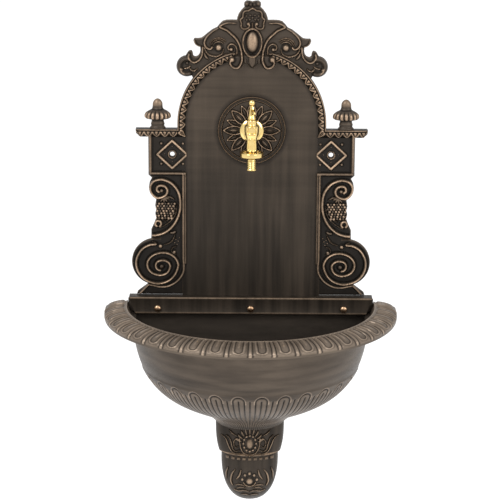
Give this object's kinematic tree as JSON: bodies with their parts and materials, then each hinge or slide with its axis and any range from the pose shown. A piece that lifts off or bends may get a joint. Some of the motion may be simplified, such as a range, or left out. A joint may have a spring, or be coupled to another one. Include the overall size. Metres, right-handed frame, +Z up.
{
  "type": "wall fountain",
  "caption": "Wall-hung cast fountain: an arched relief back plate with a brass tap over a half-round reeded basin with a moulded rim, and a carved drop below.",
  "frame": {"origin": "on the wall plane behind the back plate, midway between the two hanging holes", "axes": "+Z up, +Y into the wall, -Y out of the wall towards the viewer, +X to the viewer's right"},
  "size_m": [0.44, 0.238, 0.7729],
  "materials": {
    "patinated_casting": "dark bronze-brown patina, rubbed to copper on the raised edges",
    "screw_metal": "satin copper",
    "tap_brass": "polished"
  },
  "bodies": {
    "fountain": {"back_plate": "patinated_casting", "basin": "patinated_casting", "corbel": "patinated_casting", "finial_left": "patinated_casting", "finial_right": "patinated_casting", "screw_left": "screw_metal", "screw_middle": "screw_metal", "screw_right": "screw_metal", "tap_body": "tap_brass", "tap_union_ring": "tap_brass", "tap_hose_tail": "tap_brass"},
    "lever": {"tap_lever": "tap_brass"}
  },
  "joints": [
    {"name": "lever_turn", "type": "hinge", "parent": "fountain", "child": "lever", "pos_m": [0, -0.052, 0.0613], "axis": [0, 0, 1], "range_deg": [0, 90]}
  ]
}
